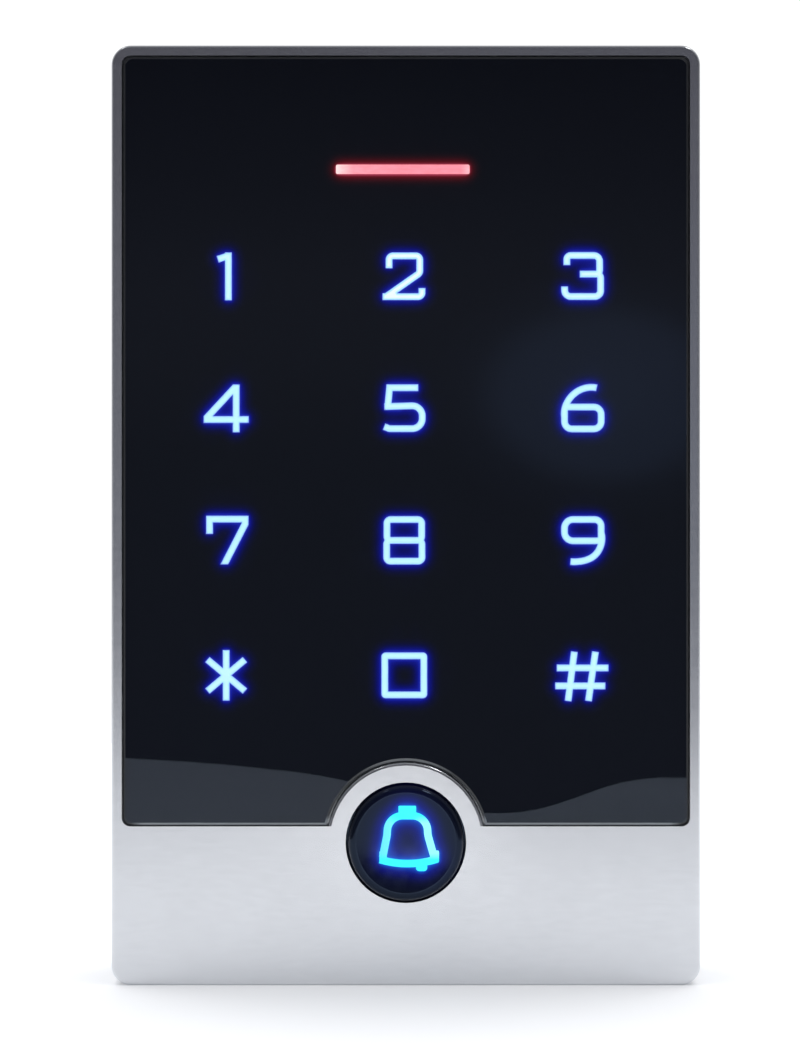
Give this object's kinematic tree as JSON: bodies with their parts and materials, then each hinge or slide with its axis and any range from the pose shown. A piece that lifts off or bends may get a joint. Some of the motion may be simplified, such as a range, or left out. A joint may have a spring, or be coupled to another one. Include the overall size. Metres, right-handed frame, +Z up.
{
  "type": "wall-mounted keypad access reader",
  "caption": "Wall-mounted access reader: satin metal case, black touch glass with lit keys and status bar, and a lit bell push button in the chin.",
  "frame": {"origin": "middle of the back of the wall bracket, on the wall plane", "axes": "+X to the right as seen from the front, +Z up the wall, -Y out of the wall through the keypad"},
  "size_m": [0.0752, 0.0231, 0.12],
  "materials": {
    "satin_zinc": "satin plated die-casting, finely brushed",
    "tempered_glass": "polished tempered glass with a ground bevel",
    "black_print": "black ink printed behind the glass",
    "clear_ink": "translucent pale blue ink, lit from behind",
    "foam_tape": "closed-cell adhesive foam",
    "milky_plastic": "milky diffusing film",
    "status_plastic": "clear light guide, lit red",
    "black_plastic": "fine moulded texture",
    "spring_steel": "drawn wire",
    "copper_wire": "enamelled copper winding",
    "circuit_board": "solder mask with a woven base",
    "screw_steel": "zinc plated",
    "led_package": "moulded package",
    "chip_resin": "moulded resin",
    "capacitor_can": "drawn can",
    "relay_case": "sealed case",
    "cream_plastic": "moulded nylon",
    "sensor_face": "resin coated ceramic",
    "button_black": "gloss smoked black",
    "bell_plastic": "clear plastic, lit cyan",
    "silicone": "soft moulded silicone",
    "grommet_rubber": "moulded rubber",
    "window_plastic": "clear plug",
    "zinc_plated_steel": "stamped and zinc plated"
  },
  "bodies": {
    "reader": {"front_housing": "satin_zinc", "touch_glass": "tempered_glass", "legend_film": "black_print", "key_legends": "clear_ink", "panel_tape": "foam_tape", "diffuser_sheet": "milky_plastic", "status_light_guide": "status_plastic", "light_mask": "black_plastic", "touch_springs": "spring_steel", "antenna_coil": "copper_wire", "touch_board": "circuit_board", "touch_board_screws": "screw_steel", "key_leds": "led_package", "status_leds": "led_package", "main_board": "circuit_board", "main_board_screws": "screw_steel", "board_headers": "black_plastic", "logic_chips": "chip_resin", "power_parts": "capacitor_can", "door_relay": "relay_case", "buzzer": "black_plastic", "wire_header": "cream_plastic", "tamper_sensor": "sensor_face", "bell_switch_body": "black_plastic", "bell_leds": "led_package", "button_return_spring": "spring_steel", "button_seal": "silicone", "rear_cover": "black_plastic", "rear_gasket": "silicone", "rear_cover_screws": "screw_steel", "cable_grommet": "grommet_rubber", "tamper_window": "window_plastic", "wall_bracket": "zinc_plated_steel", "lock_screw": "screw_steel"},
    "bell_button": {"bell_button_cap": "button_black", "bell_light_core": "bell_plastic", "bell_switch_plunger": "cream_plastic"}
  },
  "joints": [
    {"name": "bell_press", "type": "slide", "parent": "reader", "child": "bell_button", "axis": [0, 1, 0], "range_m": [0, 0.0008], "stiffness_N_per_m": 400, "springref_m": -0.004, "deforming": ["button_return_spring"]}
  ]
}
